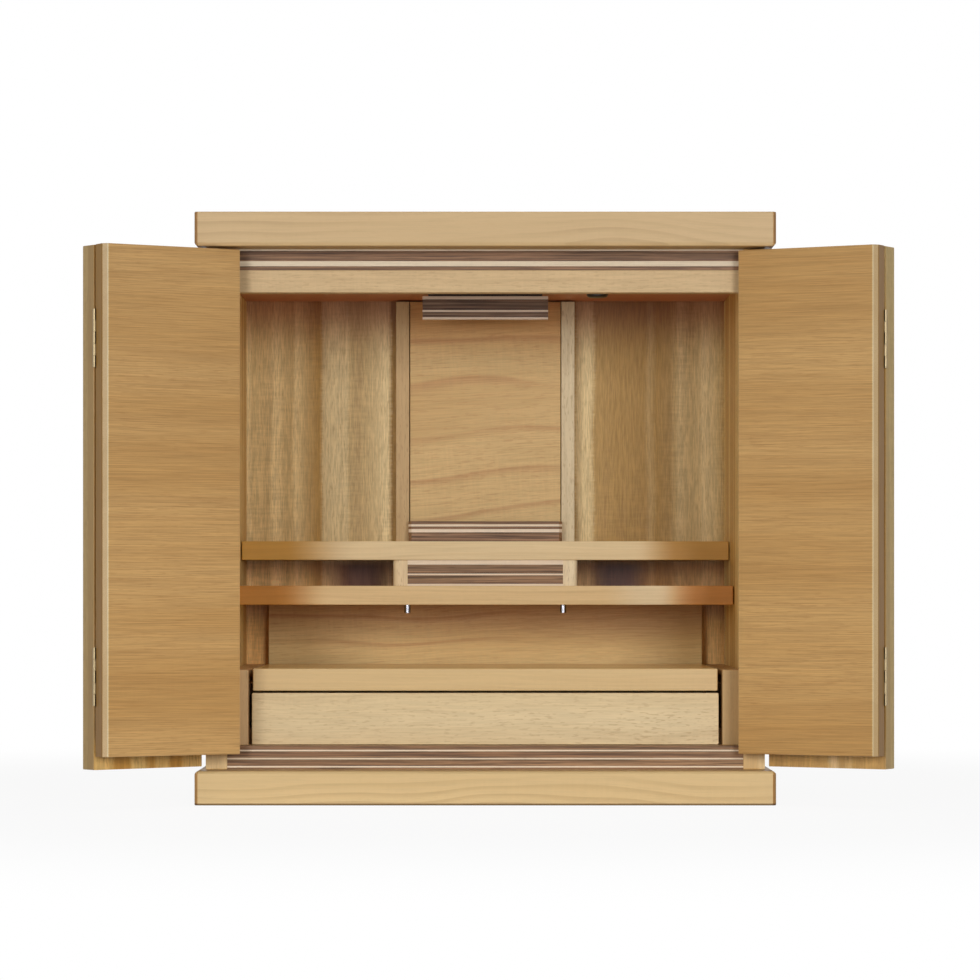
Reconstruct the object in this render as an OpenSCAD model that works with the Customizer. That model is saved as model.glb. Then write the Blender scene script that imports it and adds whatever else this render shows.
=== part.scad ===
// Tabletop altar cabinet with folding doors, two shelves, a pull-out tray and a drawer.
// The origin is the centre of the base board's underside, the front faces -Y and +Z is up.

/* [Carcase] */
// Overall height
overall_h = 450; // [430:1:520]
// Width over the side panels
cabinet_w = 428; // [415:1:480]
// Depth of the side panels
side_d = 250; // [240:1:290]
// Thickness of the side panels
side_t = 16.5; // [14:0.5:20]
// Thickness of the back board
back_t = 6; // [4:0.5:9]
// Distance from the back board to the side panels' rear edges
back_inset = 5; // [3:0.5:8]
// Thickness of the floor board and the ceiling board
deck_t = 9; // [6:0.5:12]
// Depth of the grooves that hold the floor, ceiling and back boards
groove_depth = 5; // [3:0.5:7]
// Height from the top board's underside down to the ceiling's underside
ceiling_drop = 22; // [18:0.5:28]

/* [Top and base boards] */
// Thickness of the top board and the base board
board_t = 26; // [20:1:32]
// Distance that both boards reach beyond each side panel
board_side_reach = 6.5; // [4:0.5:12]
// Distance that both boards reach in front of the side panels
board_front_reach = 30; // [26:1:40]
// Distance that both boards reach behind the side panels
board_rear_reach = 5; // [0:0.5:12]
// Chamfer along the edges that face the doors and down the corners
board_chamfer = 2; // [1:0.5:5]

/* [Lintel and bottom rail] */
// Depth of the lintel and of the bottom rail from front to back
rail_d = 16; // [12:1:20]
// Height of the plain rail below the lintel's strips
lintel_rail_h = 17; // [12:0.5:24]
// Lintel strips upwards from the plain rail: walnut, maple, walnut, maple
lintel_strips = [3, 4, 7.8, 1.2]; // [0.8:0.1:10]
// Bottom rail strips upwards: walnut, maple and so on in turn
bottom_strips = [1.4, 1.2, 5, 1.2, 5, 1.2, 3]; // [0.8:0.1:8]

/* [Shelves] */
// Thickness of both shelves
shelf_t = 15; // [12:0.5:20]
// Gap between a shelf's end and the side panel
shelf_end_gap = 0.9; // [0.5:0.1:2]
// Height of the lower shelf's underside above the tray's deck level
bay_h = 49; // [40:1:60]
// Distance from the cabinet's front to the lower shelf's front edge
lower_shelf_setback = 106; // [80:1:130]
// Distance from the cabinet's front to the upper shelf's front edge
upper_shelf_setback = 162.5; // [140:0.5:180]
// Thickness of the panel behind the tray that carries the lower shelf
lower_panel_t = 14; // [9:0.5:18]
// Gap between that panel's ends and the cheeks
lower_panel_gap = 4.2; // [2:0.1:8]
// Diameter of the two pegs under the lower shelf
peg_dia = 5; // [3:0.5:8]
// Length of the two pegs
peg_len = 6.5; // [4:0.5:10]
// Distance of each peg from the middle
peg_x = 62; // [40:1:90]
// Distance from the lower shelf's front edge back to the pegs
peg_setback = 12; // [6:1:24]

/* [Riser between the shelves] */
// Width of the striped panel between the posts
riser_panel_w = 125.6; // [90:0.2:150]
// Width of each post
riser_post_w = 11.7; // [8:0.1:18]
// Depth of the posts and the striped panel
riser_d = 14; // [10:1:24]
// Distance from the upper shelf's front edge back to the riser
riser_setback = 2.5; // [1:0.5:10]
// Radius of the posts' outer front corners
riser_post_round = 4; // [1:0.5:6]
// Riser strips upwards: maple, walnut, maple, walnut, maple
riser_strips = [1.7, 6.9, 1.4, 7.2, 3.8]; // [0.8:0.1:9]

/* [Centre panel and plinth] */
// Width of the centre panel
centre_w = 124; // [100:1:150]
// Thickness of the centre panel
centre_t = 14; // [9:0.5:20]
// Width of each pilaster
pilaster_w = 10.8; // [8:0.1:16]
// Distance that the pilasters stand out in front of the centre panel
pilaster_step = 3; // [1:0.5:6]
// Joint between the centre panel and each pilaster
pilaster_joint = 0.6; // [0.3:0.1:1.5]
// Gap between the centre panel's top and the ceiling
centre_top_gap = 1.5; // [1:0.1:4]
// Width of the striped plinth
plinth_w = 126; // [100:1:150]
// Depth of the plinth
plinth_d = 10; // [6:0.5:16]
// Chamfer at the plinth's ends
plinth_chamfer = 2.5; // [1:0.5:4]
// Plinth strips upwards: walnut, maple, walnut, maple, walnut
plinth_strips = [8, 2.7, 2.1, 1.8, 2.4]; // [0.8:0.1:10]

/* [Lamp under the ceiling] */
// Width of the striped lamp cover
lamp_cover_w = 101; // [80:1:130]
// Thickness of the lamp cover
lamp_cover_t = 8; // [5:0.5:12]
// Distance that the lamp cover's face stands in front of the pilasters
lamp_reach = 72; // [50:1:100]
// Gap between the lamp cover's top and the ceiling
lamp_cover_gap = 2.4; // [1:0.1:5]
// Lamp cover strips upwards: maple, walnut, maple, walnut, maple
lamp_strips = [1.7, 4.2, 1.6, 8.5, 2.6]; // [0.8:0.1:10]
// Width of the lamp's housing
lamp_housing_w = 92; // [60:1:98]
// Depth of the lamp's housing
lamp_housing_d = 30; // [20:1:40]
// Height of the lamp's housing
lamp_housing_h = 15; // [10:0.5:18]
// Diameter of the cord grommet in the ceiling
grommet_dia = 17; // [12:0.5:24]
// Distance that the grommet hangs below the ceiling
grommet_drop = 7.3; // [4:0.1:10]
// Rounding of the grommet's rim
grommet_round = 2.5; // [1:0.5:4]
// Place of the grommet to the right of the middle
grommet_x = 88.7; // [60:0.1:140]
// Distance from the cabinet's front to the grommet's centre
grommet_setback = 100; // [60:1:120]

/* [Pull-out tray] */
// Thickness of the cheeks beside the tray and the drawer
cheek_t = 15; // [12:0.5:18]
// Distance from the cabinet's front to the cheeks' front edges
cheek_setback = 14; // [8:1:20]
// Thickness of the tray
tray_t = 17; // [14:0.5:20]
// Gap between the tray's rear edge and the panel behind it
tray_rear_gap = 4; // [1:0.5:20]
// Distance from the cabinet's front to the tray's front edge
tray_setback = 21; // [16:1:28]
// Gap between the tray and each cheek
tray_side_gap = 3.3; // [2:0.1:5]
// Height that the tray's top stands above the cheeks
tray_rise = 0.6; // [0:0.1:2]
// Gap between the tray and the drawer front below it
tray_gap = 1.7; // [1:0.1:3]
// Length of the tongues at the tray's rear corners
tongue_len = 70; // [50:1:75]
// Thickness of the tongues
tongue_t = 6; // [4:0.5:8]
// Distance that the tongues reach into the cheeks
tongue_bite = 4; // [2:0.5:6]
// Wood left in front of the tongues' grooves, which stops the tray
groove_stop = 16.7; // [8:0.1:60]

/* [Drawer] */
// Height of the drawer front
drawer_front_h = 39.6; // [36:0.2:50]
// Thickness of the drawer front
drawer_front_t = 14; // [10:0.5:18]
// Distance from the cabinet's front to the drawer's face
drawer_setback = 20; // [16:1:28]
// Gap between the drawer front and each cheek
drawer_front_gap = 2.75; // [1.5:0.05:5]
// Gap between the drawer's back and the panel behind it
drawer_rear_gap = 16; // [4:1:50]
// Thickness of the drawer's sides and back
drawer_wall_t = 9; // [7:0.5:12]
// Height that the drawer's front stands above its sides
drawer_wall_drop = 6.1; // [3:0.1:12]
// Thickness of the drawer's bottom
drawer_bottom_t = 4; // [3:0.5:5]
// Height of the drawer's bottom above the sides' lower edges
drawer_bottom_rise = 3.5; // [2:0.5:6]
// Depth of the grooves that hold the drawer's bottom
drawer_groove = 4; // [3:0.5:5]
// Width of the guide strips beside the drawer
guide_w = 6.2; // [4:0.1:8]
// Height of the guide strips
guide_h = 12; // [8:1:20]
// Running gap of the drawer and of the tray's tongues
running_gap = 0.3; // [0.2:0.05:0.6]

/* [Folding doors] */
// Thickness of the door leaves
leaf_t = 15; // [12:0.5:18]
// Width that the front leaves have more than the rear leaves, which are hinged to the cabinet
front_leaf_extra = 14.8; // [2:0.2:18]
// Gap between the two closed doors, half of it at each side of the middle
closed_gap = 2.4; // [1:0.1:6]
// Height of the finger grip below the front leaves
grip_h = 10.2; // [6:0.2:14]
// Gap above the door leaves
door_top_gap = 2; // [1:0.1:4]
// Gap below the rear leaves
door_bottom_gap = 2.3; // [1:0.1:4]
// Joint between the two leaves of a closed door
leaf_gap = 1; // [0.8:0.1:2]
// Bevel down the front leaves' hinged edge
leaf_bevel = 3.4; // [1:0.1:5]
// Angle of the left rear leaf from the cabinet's front
left_rear_angle = 39; // [32:0.5:50]
// Distance of the left front leaf's free corner from the cabinet's front
left_corner_gap = 7.7; // [1:0.1:15]
// Angle of the right rear leaf from the cabinet's front
right_rear_angle = 31; // [26:0.5:50]
// Distance of the right front leaf's free corner from the cabinet's front
right_corner_gap = 0.8; // [0.5:0.1:15]

/* [Butt hinges] */
// Length of each hinge
hinge_len = 44; // [30:1:60]
// Number of knuckles of each hinge
knuckle_count = 5; // [3:2:7]
// Gap between neighbouring knuckles
knuckle_gap = 0.3; // [0.2:0.05:0.5]
// Radius of the knuckles
knuckle_r = 1.25; // [1:0.05:2]
// Thickness of the hinge plates
plate_t = 0.9; // [0.6:0.1:1.2]
// Width of the hinge plates from the hinge's axis
plate_w = 12; // [9:0.5:14]
// How far each plate reaches into its own knuckles
plate_reach = 1; // [0.5:0.1:1]
// Gap between the knuckles between the leaves and the leaves' inner faces
knuckle_clear = 0.08; // [0.05:0.01:0.3]
// Gap between the cabinet hinges' knuckles and the side panel or the rear leaf
side_knuckle_clear = 0.25; // [0.1:0.05:0.6]
// Distance of each hinge from the rear leaf's top or bottom edge
hinge_inset = 48; // [36:1:70]

/* [Hidden] */
$fn = 48;

pale_wood = "#cdaf82";
door_wood = "#b99467";
amber_wood = "#b07f48";
tray_wood = "#d4b482";
drawer_wood = "#dac396";
box_wood = "#c9a874";
walnut = "#76583f";
maple = "#dec8ac";
brass = "#c9b27c";

// Overlap of a cutting shape past the face that it cuts
past = 1;

board_w = cabinet_w + 2 * board_side_reach;
board_d = board_front_reach + side_d + board_rear_reach;
front_y = -board_d / 2 + board_front_reach;
rear_y = front_y + side_d;
body_low = board_t;
body_top = overall_h - board_t;
inner_w = cabinet_w - 2 * side_t;
back_y = rear_y - back_inset - back_t;
lower_panel_y = back_y - lower_panel_t;

ceiling_z = body_top - ceiling_drop;
floor_z = body_low + sum(bottom_strips);
lintel_z = body_top - sum(lintel_strips) - lintel_rail_h;

cheek_x = inner_w / 2 - cheek_t;
drawer_low = floor_z + running_gap;
tray_low = drawer_low + drawer_front_h + tray_gap;
tray_top = tray_low + tray_t;
cheek_top = tray_top - tray_rise;
tray_half = cheek_x - tray_side_gap;
tray_front = front_y + tray_setback;
tray_rear = lower_panel_y - tray_rear_gap;
tongue_z = tray_low + (tray_t - tongue_t) / 2;
tongue_front = tray_rear - tongue_len;
groove_front = front_y + cheek_setback + groove_stop;

drawer_face = front_y + drawer_setback;
drawer_box_y = drawer_face + drawer_front_t;
drawer_rear = lower_panel_y - drawer_rear_gap;
drawer_wall_h = drawer_front_h - drawer_wall_drop;
drawer_half = cheek_x - guide_w - running_gap;
drawer_bottom_z = drawer_low + drawer_bottom_rise;

lower_shelf_z = tray_top + bay_h;
lower_shelf_y = front_y + lower_shelf_setback;
riser_z = lower_shelf_z + shelf_t;
upper_shelf_z = riser_z + sum(riser_strips);
upper_shelf_y = front_y + upper_shelf_setback;
shelf_w = inner_w - 2 * shelf_end_gap;
altar_z = upper_shelf_z + shelf_t;
riser_y = upper_shelf_y + riser_setback;

centre_y = back_y - centre_t;
pilaster_y = centre_y - pilaster_step;
centre_top = ceiling_z - centre_top_gap;

lamp_y = pilaster_y - lamp_reach;
lamp_cover_z = ceiling_z - lamp_cover_gap - sum(lamp_strips);

leaf_pin_offset = knuckle_r + knuckle_clear;
side_pin_gap = knuckle_r + side_knuckle_clear;
pin_x = cabinet_w / 2 + side_pin_gap;
leaf_top = body_top - door_top_gap;
rear_leaf_low = body_low + door_bottom_gap;
front_leaf_low = rear_leaf_low + grip_h;
rear_leaf_w = (cabinet_w / 2 - leaf_gap - closed_gap / 2 - front_leaf_extra) / 2;
front_leaf_w = rear_leaf_w + front_leaf_extra;
leaf_pin_x = side_pin_gap + rear_leaf_w + leaf_gap / 2;
left_front_angle = front_angle(left_rear_angle, left_corner_gap);
right_front_angle = front_angle(right_rear_angle, right_corner_gap);
hinge_heights = [rear_leaf_low + hinge_inset, leaf_top - hinge_inset - hinge_len];
knuckle_pitch = hinge_len / knuckle_count;

// Total of a list's values, from entry i on
function sum(list, i = 0) = i < len(list) ? list[i] + sum(list, i + 1) : 0;

// Total of the entries before entry i
function below(list, i) = i > 0 ? list[i - 1] + below(list, i - 1) : 0;

// Angle at which a front leaf's free inner corner stays a gap in front of the cabinet
function front_angle(rear_angle, corner_gap) =
    let (reach = leaf_gap / 2 + front_leaf_w)
    let (pin_depth = leaf_pin_x * sin(rear_angle) + leaf_pin_offset * cos(rear_angle))
    atan2(leaf_pin_offset, reach) + asin((pin_depth - corner_gap) / norm([reach, leaf_pin_offset]));

// Block between two corners
module block(low, high) {
    translate(low) cube(high - low);
}

// Block that is centred on X
module centred_block(w, y0, y1, z0, z1) {
    block([-w / 2, y0, z0], [w / 2, y1, z1]);
}

// Every second strip of a stack, each with the plan shape given as a child
module strips(list, z, first) {
    for (i = [first : 2 : len(list) - 1])
        translate([0, 0, z + below(list, i)]) linear_extrude(list[i]) children();
}

// Rectangle in plan that is centred on X
module plan_bar(w, y0, d) {
    translate([-w / 2, y0]) square([w, d]);
}

// Copies of a child at the left and the right
module both_sides() {
    children();
    mirror([1, 0, 0]) children();
}

// Board with chamfered corners and one chamfered long edge all round, chamfers up
module chamfered_board() {
    w = board_w / 2;
    d = board_d / 2;
    c = board_chamfer;
    intersection() {
        linear_extrude(board_t)
            polygon([[-w + c, -d], [w - c, -d], [w, -d + c], [w, d - c],
                [w - c, d], [-w + c, d], [-w, d - c], [-w, -d + c]]);
        translate([0, d, 0]) rotate([90, 0, 0]) linear_extrude(board_d)
            polygon([[-w, 0], [w, 0], [w, board_t - c], [w - c, board_t],
                [-w + c, board_t], [-w, board_t - c]]);
        translate([-w, 0, 0]) rotate([90, 0, 90]) linear_extrude(board_w)
            polygon([[-d, 0], [d, 0], [d, board_t - c], [d - c, board_t],
                [-d + c, board_t], [-d, board_t - c]]);
    }
}

module base_board() {
    color(pale_wood) chamfered_board();
}

module top_board() {
    color(pale_wood) translate([0, 0, overall_h]) mirror([0, 0, 1]) chamfered_board();
}

// Mortise for one hinge plate, in the frame of a hinge axis whose wood lies at y below -offset
module hinge_mortise(offset) {
    translate([0, -offset - plate_t, 0]) cube([plate_w, plate_t + past, hinge_len]);
}

// Left side panel with its rebate, its grooves and its hinge mortises
module side_panel() {
    outer = -cabinet_w / 2;
    inner = -inner_w / 2;
    difference() {
        block([outer, front_y, body_low], [inner, rear_y, body_top]);
        block([inner - groove_depth, back_y, body_low - past], [inner + past, rear_y + past, body_top + past]);
        block([inner - groove_depth, front_y + rail_d, ceiling_z], [inner + past, back_y + past, ceiling_z + deck_t]);
        block([inner - groove_depth, front_y + rail_d, floor_z - deck_t], [inner + past, back_y + past, floor_z]);
        for (z = hinge_heights)
            translate([-pin_x, front_y, z]) mirror([0, 1, 0]) hinge_mortise(0);
    }
}

module left_side_panel() {
    color(pale_wood) side_panel();
}

module right_side_panel() {
    color(pale_wood) mirror([1, 0, 0]) side_panel();
}

module back_board() {
    color(amber_wood) centred_block(inner_w + 2 * groove_depth, back_y, back_y + back_t, body_low, body_top);
}

module floor_board() {
    color(pale_wood)
        centred_block(inner_w + 2 * groove_depth, front_y + rail_d, back_y, floor_z - deck_t, floor_z);
}

module ceiling_board() {
    color(amber_wood)
        centred_block(inner_w + 2 * groove_depth, front_y + rail_d, back_y, ceiling_z, ceiling_z + deck_t);
}

module lintel_rail() {
    color(pale_wood) centred_block(inner_w, front_y, front_y + rail_d, lintel_z, lintel_z + lintel_rail_h);
}

module lintel_walnut_strips() {
    color(walnut) strips(lintel_strips, lintel_z + lintel_rail_h, 0) plan_bar(inner_w, front_y, rail_d);
}

module lintel_maple_strips() {
    color(maple) strips(lintel_strips, lintel_z + lintel_rail_h, 1) plan_bar(inner_w, front_y, rail_d);
}

module bottom_rail_walnut_strips() {
    color(walnut) strips(bottom_strips, body_low, 0) plan_bar(inner_w, front_y, rail_d);
}

module bottom_rail_maple_strips() {
    color(maple) strips(bottom_strips, body_low, 1) plan_bar(inner_w, front_y, rail_d);
}

module centre_panel() {
    color(door_wood) centred_block(centre_w, centre_y, back_y, altar_z, centre_top);
}

module pilaster() {
    inner = centre_w / 2 + pilaster_joint;
    block([inner, pilaster_y, altar_z], [inner + pilaster_w, back_y, centre_top]);
}

module left_pilaster() {
    color(pale_wood) mirror([1, 0, 0]) pilaster();
}

module right_pilaster() {
    color(pale_wood) pilaster();
}

// Plan of the plinth, with chamfered front corners
module plinth_plan() {
    w = plinth_w / 2;
    c = plinth_chamfer;
    y0 = pilaster_y - plinth_d;
    polygon([[-w + c, y0], [w - c, y0], [w, y0 + c], [w, pilaster_y], [-w, pilaster_y], [-w, y0 + c]]);
}

module plinth_walnut_strips() {
    color(walnut) strips(plinth_strips, altar_z, 0) plinth_plan();
}

module plinth_maple_strips() {
    color(maple) strips(plinth_strips, altar_z, 1) plinth_plan();
}

module lamp_housing() {
    y0 = lamp_y + lamp_cover_t;
    color("#2b2622")
        centred_block(lamp_housing_w, y0, y0 + lamp_housing_d, ceiling_z - lamp_housing_h, ceiling_z);
}

module lamp_cover_walnut_strips() {
    color(walnut) strips(lamp_strips, lamp_cover_z, 1) plan_bar(lamp_cover_w, lamp_y, lamp_cover_t);
}

module lamp_cover_maple_strips() {
    color(maple) strips(lamp_strips, lamp_cover_z, 0) plan_bar(lamp_cover_w, lamp_y, lamp_cover_t);
}

// Half section of the grommet, with a rounded rim
module grommet_section() {
    r = grommet_dia / 2;
    square([r - grommet_round, grommet_drop]);
    translate([0, grommet_round]) square([r, grommet_drop - grommet_round]);
    intersection() {
        translate([r - grommet_round, grommet_round]) circle(grommet_round);
        square([r, grommet_drop]);
    }
}

module cord_grommet() {
    color("#1d1b1a")
        translate([grommet_x, front_y + grommet_setback, ceiling_z - grommet_drop])
            rotate_extrude() grommet_section();
}

module upper_shelf() {
    color(pale_wood) centred_block(shelf_w, upper_shelf_y, back_y, upper_shelf_z, altar_z);
}

module lower_shelf() {
    color(pale_wood) centred_block(shelf_w, lower_shelf_y, back_y, lower_shelf_z, riser_z);
}

// Right riser post with a rounded outer front corner
module riser_post() {
    r = riser_post_round;
    x0 = riser_panel_w / 2;
    x1 = x0 + riser_post_w;
    translate([0, 0, riser_z]) linear_extrude(upper_shelf_z - riser_z) union() {
        translate([x0, riser_y]) square([riser_post_w - r, riser_d]);
        translate([x0, riser_y + r]) square([riser_post_w, riser_d - r]);
        translate([x1 - r, riser_y + r]) circle(r);
    }
}

module left_riser_post() {
    color(pale_wood) mirror([1, 0, 0]) riser_post();
}

module right_riser_post() {
    color(pale_wood) riser_post();
}

module riser_walnut_strips() {
    color(walnut) strips(riser_strips, riser_z, 1) plan_bar(riser_panel_w, riser_y, riser_d);
}

module riser_maple_strips() {
    color(maple) strips(riser_strips, riser_z, 0) plan_bar(riser_panel_w, riser_y, riser_d);
}

module shelf_pegs() {
    color("silver") both_sides()
        translate([peg_x, lower_shelf_y + peg_setback, lower_shelf_z - peg_len]) cylinder(h = peg_len, d = peg_dia);
}

module lower_back_panel() {
    color(door_wood)
        centred_block(2 * (cheek_x - lower_panel_gap), lower_panel_y, back_y, floor_z, lower_shelf_z);
}

// Right cheek with the stopped groove of the tray's tongue
module cheek() {
    difference() {
        block([cheek_x, front_y + cheek_setback, floor_z], [inner_w / 2, back_y, cheek_top]);
        block([cheek_x - past, groove_front, tongue_z - running_gap],
            [cheek_x + tongue_bite + running_gap, back_y + past, tongue_z + tongue_t + running_gap]);
    }
}

module left_cheek() {
    color(pale_wood) mirror([1, 0, 0]) cheek();
}

module right_cheek() {
    color(pale_wood) cheek();
}

module drawer_guides() {
    color(box_wood) both_sides()
        block([cheek_x - guide_w, drawer_box_y + running_gap, floor_z], [cheek_x, lower_panel_y, floor_z + guide_h]);
}

module pull_out_tray() {
    color(tray_wood) centred_block(2 * tray_half, tray_front, tray_rear, tray_low, tray_top);
}

module tray_tongues() {
    color(box_wood) both_sides()
        block([tray_half, tongue_front, tongue_z], [cheek_x + tongue_bite, tray_rear, tongue_z + tongue_t]);
}

// Space of the drawer's bottom panel, with its edges in the grooves
module bottom_panel_space() {
    half = drawer_half - drawer_wall_t + drawer_groove;
    block([-half, drawer_box_y - drawer_groove, drawer_bottom_z],
        [half, drawer_rear, drawer_bottom_z + drawer_bottom_t]);
}

module drawer_front() {
    color(drawer_wood) difference() {
        centred_block(2 * (cheek_x - drawer_front_gap), drawer_face, drawer_box_y,
            drawer_low, drawer_low + drawer_front_h);
        bottom_panel_space();
    }
}

module drawer_side() {
    difference() {
        block([drawer_half - drawer_wall_t, drawer_box_y, drawer_low],
            [drawer_half, drawer_rear, drawer_low + drawer_wall_h]);
        bottom_panel_space();
    }
}

module left_drawer_side() {
    color(box_wood) mirror([1, 0, 0]) drawer_side();
}

module right_drawer_side() {
    color(box_wood) drawer_side();
}

module drawer_back() {
    color(box_wood)
        centred_block(2 * (drawer_half - drawer_wall_t), drawer_rear - drawer_wall_t,
            drawer_rear, drawer_bottom_z + drawer_bottom_t, drawer_low + drawer_wall_h);
}

module drawer_bottom() {
    color(box_wood) bottom_panel_space();
}

// Frame of a left rear leaf: its hinge axis, with x along the leaf and y = 0 on its inner face
module rear_leaf_frame(rear_angle) {
    translate([-pin_x, front_y, 0]) rotate(rear_angle - 180) children();
}

// Frame of a left front leaf: the axis between the leaves, with the wood at y below -leaf_pin_offset
module front_leaf_frame(rear_angle, front_angle) {
    rear_leaf_frame(rear_angle)
        translate([leaf_pin_x, leaf_pin_offset, 0]) rotate(180 - rear_angle + front_angle) children();
}

// Frame at the far end of a left rear leaf, for the hinge plates that it shares with the front leaf
module rear_leaf_end_frame(rear_angle) {
    rear_leaf_frame(rear_angle) translate([leaf_pin_x, leaf_pin_offset, 0]) mirror([1, 0, 0]) children();
}

// Left rear leaf with the mortises of its four hinge plates
module rear_leaf(rear_angle) {
    difference() {
        rear_leaf_frame(rear_angle)
            block([side_pin_gap, -leaf_t, rear_leaf_low], [side_pin_gap + rear_leaf_w, 0, leaf_top]);
        for (z = hinge_heights) {
            rear_leaf_frame(rear_angle) translate([0, 0, z]) hinge_mortise(0);
            rear_leaf_end_frame(rear_angle) translate([0, 0, z]) hinge_mortise(leaf_pin_offset);
        }
    }
}

// Left front leaf with its bevelled edge and its two hinge mortises
module front_leaf(rear_angle, front_angle) {
    x0 = leaf_gap / 2;
    x1 = x0 + front_leaf_w;
    inner = -leaf_pin_offset;
    outer = inner - leaf_t;
    front_leaf_frame(rear_angle, front_angle) difference() {
        translate([0, 0, front_leaf_low]) linear_extrude(leaf_top - front_leaf_low)
            polygon([[x0, inner], [x0, outer + leaf_bevel], [x0 + leaf_bevel, outer], [x1, outer], [x1, inner]]);
        for (z = hinge_heights)
            translate([0, 0, z]) hinge_mortise(leaf_pin_offset);
    }
}

module left_rear_leaf() {
    color(amber_wood) rear_leaf(left_rear_angle);
}

module left_front_leaf() {
    color(door_wood) front_leaf(left_rear_angle, left_front_angle);
}

module right_rear_leaf() {
    color(amber_wood) mirror([1, 0, 0]) rear_leaf(right_rear_angle);
}

module right_front_leaf() {
    color(door_wood) mirror([1, 0, 0]) front_leaf(right_rear_angle, right_front_angle);
}

// Half of a butt hinge: a plate let into the wood at y below -offset, and every second knuckle
module half_hinge(offset, first) {
    plate_x = knuckle_r + knuckle_gap;
    block([plate_x, -offset - plate_t, 0], [plate_w, -offset, hinge_len]);
    for (i = [first : 2 : knuckle_count - 1]) {
        z0 = i * knuckle_pitch + knuckle_gap / 2;
        z1 = (i + 1) * knuckle_pitch - knuckle_gap / 2;
        translate([0, 0, z0]) cylinder(h = z1 - z0, r = knuckle_r);
        block([0, -offset - plate_t, z0], [plate_x, -offset, z1]);
        block([0, -offset - plate_t, z0], [plate_reach, 0, z1]);
    }
}

// The four hinges of a left door: two on the side panel and two between the leaves
module door_hinges(rear_angle, front_angle) {
    for (z = hinge_heights) {
        translate([-pin_x, front_y, z]) mirror([0, 1, 0]) half_hinge(0, 0);
        rear_leaf_frame(rear_angle) translate([0, 0, z]) half_hinge(0, 1);
        rear_leaf_end_frame(rear_angle) translate([0, 0, z]) half_hinge(leaf_pin_offset, 0);
        front_leaf_frame(rear_angle, front_angle) translate([0, 0, z]) half_hinge(leaf_pin_offset, 1);
    }
}

module left_door_hinges() {
    color(brass) door_hinges(left_rear_angle, left_front_angle);
}

module right_door_hinges() {
    color(brass) mirror([1, 0, 0]) door_hinges(right_rear_angle, right_front_angle);
}

top_board();
base_board();
left_side_panel();
right_side_panel();
back_board();
floor_board();
ceiling_board();
lintel_rail();
lintel_walnut_strips();
lintel_maple_strips();
bottom_rail_walnut_strips();
bottom_rail_maple_strips();
centre_panel();
left_pilaster();
right_pilaster();
plinth_walnut_strips();
plinth_maple_strips();
lamp_housing();
lamp_cover_walnut_strips();
lamp_cover_maple_strips();
cord_grommet();
upper_shelf();
lower_shelf();
left_riser_post();
right_riser_post();
riser_walnut_strips();
riser_maple_strips();
shelf_pegs();
lower_back_panel();
left_cheek();
right_cheek();
drawer_guides();
pull_out_tray();
tray_tongues();
drawer_front();
left_drawer_side();
right_drawer_side();
drawer_back();
drawer_bottom();
left_rear_leaf();
left_front_leaf();
right_rear_leaf();
right_front_leaf();
left_door_hinges();
right_door_hinges();
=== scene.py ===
import math

import bpy
import numpy as np
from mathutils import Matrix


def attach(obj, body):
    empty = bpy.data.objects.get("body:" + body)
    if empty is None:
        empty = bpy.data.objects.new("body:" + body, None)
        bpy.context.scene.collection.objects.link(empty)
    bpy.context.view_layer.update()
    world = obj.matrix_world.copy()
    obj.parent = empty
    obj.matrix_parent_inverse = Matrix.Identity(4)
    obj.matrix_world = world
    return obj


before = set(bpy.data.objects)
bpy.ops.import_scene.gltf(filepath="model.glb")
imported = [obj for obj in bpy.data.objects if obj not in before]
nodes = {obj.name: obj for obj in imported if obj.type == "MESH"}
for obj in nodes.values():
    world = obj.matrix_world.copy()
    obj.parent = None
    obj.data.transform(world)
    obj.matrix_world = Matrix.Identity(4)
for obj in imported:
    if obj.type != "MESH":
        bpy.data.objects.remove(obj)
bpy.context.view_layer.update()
print("frame loaded:", len(nodes), "nodes")


# Camera: level, far away and shifted up, as the photograph was taken

cameraSettings = {
    "distance": 3.0625,      # metres in front of the frame's origin
    "side": 0.0,
    "height": 0.163,
    "turn": 0.0,             # degrees to the left of straight ahead
    "lens": 141.6,
    "shiftX": 0.0048,
    "shiftY": 0.1024,
    "sensor": 36.0,
    "sightEnd": 50.0,        # metres that the camera sees
}


def makeCamera(s):
    data = bpy.data.cameras.new("studioCamera")
    data.lens = s["lens"]
    data.sensor_width = s["sensor"]
    data.shift_x = s["shiftX"]
    data.shift_y = s["shiftY"]
    data.clip_end = s["sightEnd"]
    camera = bpy.data.objects.new("studioCamera", data)
    camera.location = (s["side"], -s["distance"], s["height"])
    camera.rotation_euler = (math.radians(90), 0, math.radians(s["turn"]))
    bpy.context.scene.collection.objects.link(camera)
    bpy.context.scene.camera = camera


makeCamera(cameraSettings)


# Small helpers for node trees

# An 8-bit screen colour as the linear colour that a socket takes.
def linear(rgb):
    c = np.asarray(rgb, float) / 255
    c = np.where(c <= 0.04045, c / 12.92, ((c + 0.055) / 1.055) ** 2.4)
    return (*c.tolist(), 1.0)


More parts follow.
